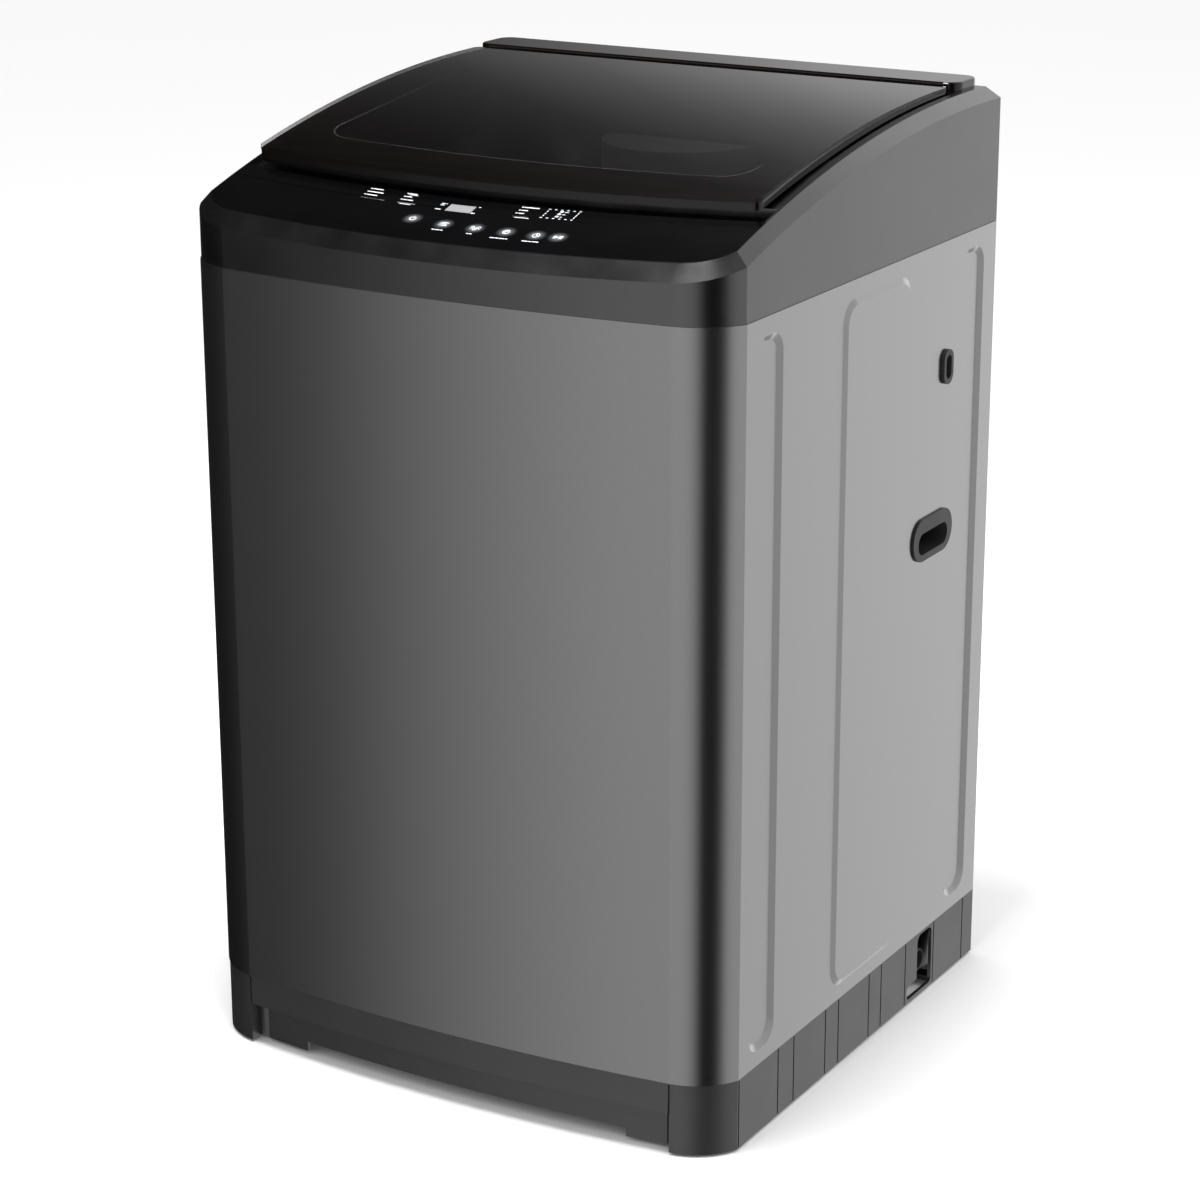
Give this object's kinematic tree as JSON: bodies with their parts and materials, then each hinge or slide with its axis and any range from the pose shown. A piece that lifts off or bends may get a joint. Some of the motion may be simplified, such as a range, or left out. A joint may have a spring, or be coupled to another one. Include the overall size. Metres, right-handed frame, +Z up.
{
  "type": "top load washing machine",
  "caption": "Free-standing top load washing machine: bowed steel cabinet, plastic base and top cover, touch panel, curved glass lid, suspended tub, drum, wash plate and direct drive motor.",
  "frame": {"origin": "on the floor, under the middle of the machine's outer box", "axes": "+Z up, the front with the control panel faces -Y, +X is to the right of someone facing the front"},
  "size_m": [0.6465, 0.634, 1.023],
  "materials": {
    "cabinet_paint": "satin metallic",
    "cover_paint": "satin painted",
    "base_plastic": "fine texture",
    "zinc_steel": "galvanised",
    "bright_steel": "turned",
    "dark_plastic": "satin",
    "gloss_black": "gloss",
    "display": "smoked",
    "board": "lacquered",
    "lid_glass": "tinted gloss",
    "rubber": "matt",
    "tub_plastic": "satin",
    "grey_plastic": "satin",
    "stainless": "polished",
    "motor_core": "varnished"
  },
  "bodies": {
    "cabinet": {"cabinet_wrap": "cabinet_paint", "rear_panel": "zinc_steel", "rear_access_cover": "zinc_steel", "rear_screws": "bright_steel", "corner_brackets": "zinc_steel", "side_grip_right": "dark_plastic", "side_grip_left": "dark_plastic", "cord_outlet_bush": "dark_plastic", "base_frame": "base_plastic", "rear_feet": "zinc_steel", "foot_lock_nuts": "zinc_steel", "top_cover": "cover_paint", "lid_hinge_pins": "bright_steel", "rear_deck": "gloss_black", "control_panel": "gloss_black", "display_window": "display", "board_tray": "dark_plastic", "control_board": "board", "touch_springs": "bright_steel", "power_board_case": "dark_plastic", "lid_lock_housing": "dark_plastic", "dispenser_housing": "dark_plastic", "inlet_valve": "tub_plastic", "pressure_sensor": "dark_plastic", "pressure_tube": "rubber", "suspension_rods": "zinc_steel", "suspension_springs": "bright_steel", "drain_pump": "dark_plastic", "drain_spigot": "dark_plastic", "drain_bellows": "rubber"},
    "left_foot": {"foot_front_left": "zinc_steel"},
    "right_foot": {"foot_front_right": "zinc_steel"},
    "lid": {"lid_glass": "lid_glass", "lid_frame": "gloss_black", "lid_bumpers": "rubber"},
    "lock_bolt": {"lid_lock_bolt": "bright_steel"},
    "drawer": {"detergent_drawer": "dark_plastic"},
    "tub": {"air_trap": "tub_plastic", "outer_tub": "tub_plastic", "tub_cover": "tub_plastic", "suspension_cups": "tub_plastic", "clutch_housing": "zinc_steel", "housing_bolts": "bright_steel", "stator": "motor_core", "bearing_upper": "bright_steel", "bearing_lower": "bright_steel", "shaft_seal": "rubber", "clutch_actuator": "dark_plastic"},
    "drum": {"drum_shell": "stainless", "drum_base": "tub_plastic", "balance_ring": "grey_plastic", "lint_filters": "tub_plastic", "spin_tube": "bright_steel"},
    "wash_plate": {"pulsator": "grey_plastic", "agitator_shaft": "bright_steel", "rotor": "zinc_steel", "shaft_fasteners": "bright_steel"},
    "coupler": {"clutch_coupler": "bright_steel"},
    "lever": {"clutch_lever": "bright_steel"}
  },
  "joints": [
    {"name": "lid_hinge", "type": "hinge", "parent": "cabinet", "child": "lid", "pos_m": [0, 0.232, 1.0117], "axis": [-1, 0, 0], "range_deg": [0, 100]},
    {"name": "lock_bolt_slide", "type": "slide", "parent": "cabinet", "child": "lock_bolt", "axis": [0, 1, 0], "range_m": [0, 0.009], "stiffness_N_per_m": 100, "springref_m": -0.003},
    {"name": "drawer_slide", "type": "slide", "parent": "cabinet", "child": "drawer", "axis": [0, -1, 0], "range_m": [0, 0.07]},
    {"name": "left_foot_screw", "type": "slide", "parent": "cabinet", "child": "left_foot", "axis": [0, 0, -1], "range_m": [0, 0.012]},
    {"name": "right_foot_screw", "type": "slide", "parent": "cabinet", "child": "right_foot", "axis": [0, 0, -1], "range_m": [0, 0.012]},
    {"name": "tub_travel", "type": "slide", "parent": "cabinet", "child": "tub", "axis": [0, 0, -1], "range_m": [-0.005, 0.025], "stiffness_N_per_m": 20000, "springref_m": -0.01729, "deforming": ["suspension_springs", "drain_bellows", "pressure_tube"]},
    {"name": "drum_spin", "type": "hinge", "parent": "tub", "child": "drum", "pos_m": [0, 0, 0.3], "axis": [0, 0, 1], "continuous": true},
    {"name": "wash_plate_spin", "type": "hinge", "parent": "tub", "child": "wash_plate", "pos_m": [0, 0, 0.3], "axis": [0, 0, 1], "continuous": true},
    {"name": "clutch_lever_tilt", "type": "hinge", "parent": "tub", "child": "lever", "pos_m": [0.075, 0, 0.161], "axis": [0, -1, 0], "range_deg": [0, 6.1], "stiffness_Nm_per_rad": 3, "springref_deg": -11.46},
    {"name": "coupler_slide", "type": "slide", "parent": "tub", "child": "coupler", "axis": [0, 0, -1], "range_m": [0, 0.008], "stiffness_N_per_m": 500, "springref_m": -0.01}
  ],
  "couplings": [
    {"joint": "coupler_slide", "follows": "clutch_lever_tilt", "m_per_rad": 0.075}
  ]
}
